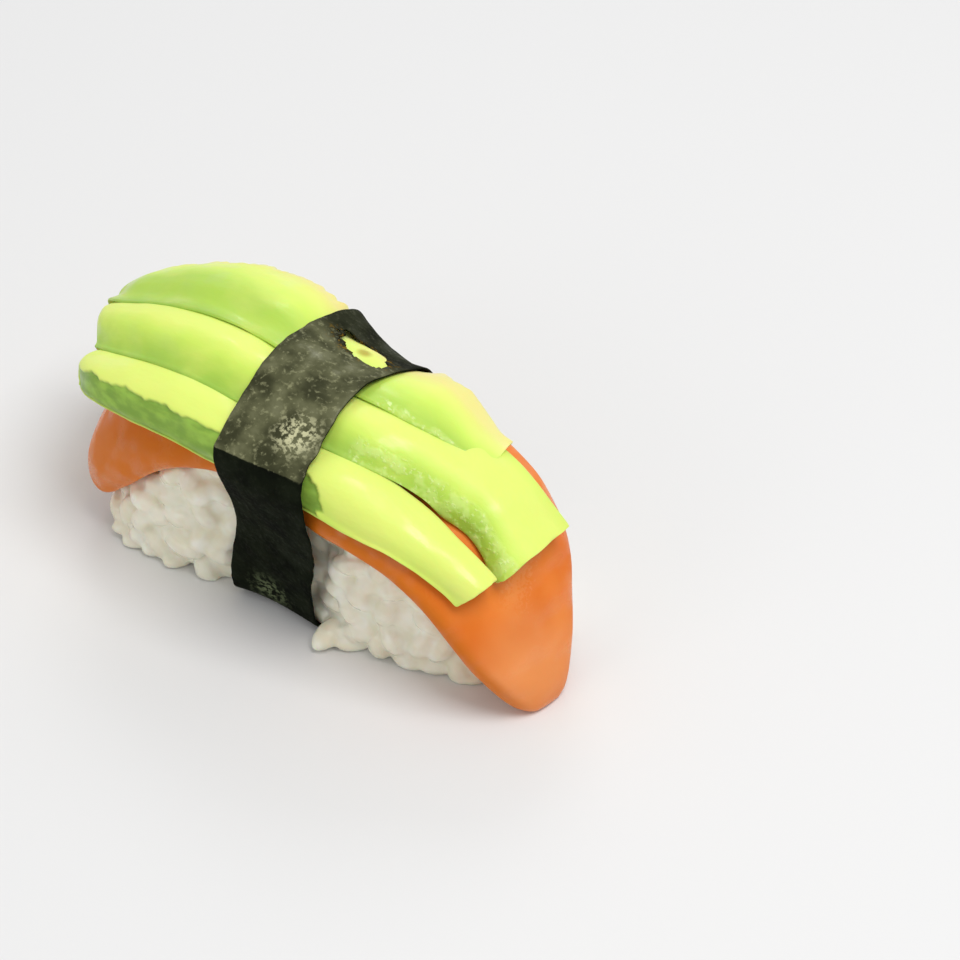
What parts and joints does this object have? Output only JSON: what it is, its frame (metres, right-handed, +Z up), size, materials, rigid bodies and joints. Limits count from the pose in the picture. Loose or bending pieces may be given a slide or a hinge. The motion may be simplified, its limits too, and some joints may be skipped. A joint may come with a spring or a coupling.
{
  "type": "salmon nigiri",
  "caption": "Oblong block of pressed rice under a draped slice of raw salmon, with overlapping avocado slices on top and a band of dried seaweed wrapped round the middle.",
  "frame": {"origin": "on the rice's flat underside, under the middle of the seaweed band", "axes": "+X along the nigiri towards the salmon's long tongue, -Y to the front, +Z up"},
  "size_m": [0.0752, 0.0322, 0.0332],
  "materials": {
    "rice": "moist, off-white cooked rice",
    "salmon": "moist, smooth raw salmon flesh",
    "avocado": "moist, smooth ripe avocado flesh",
    "seaweed": "dried seaweed sheet with a dull sheen"
  },
  "bodies": {
    "root": {"rice": "rice", "salmon": "salmon", "avocado_front": "avocado", "avocado_middle": "avocado", "avocado_back": "avocado", "nori_belt": "seaweed"}
  },
  "joints": []
}
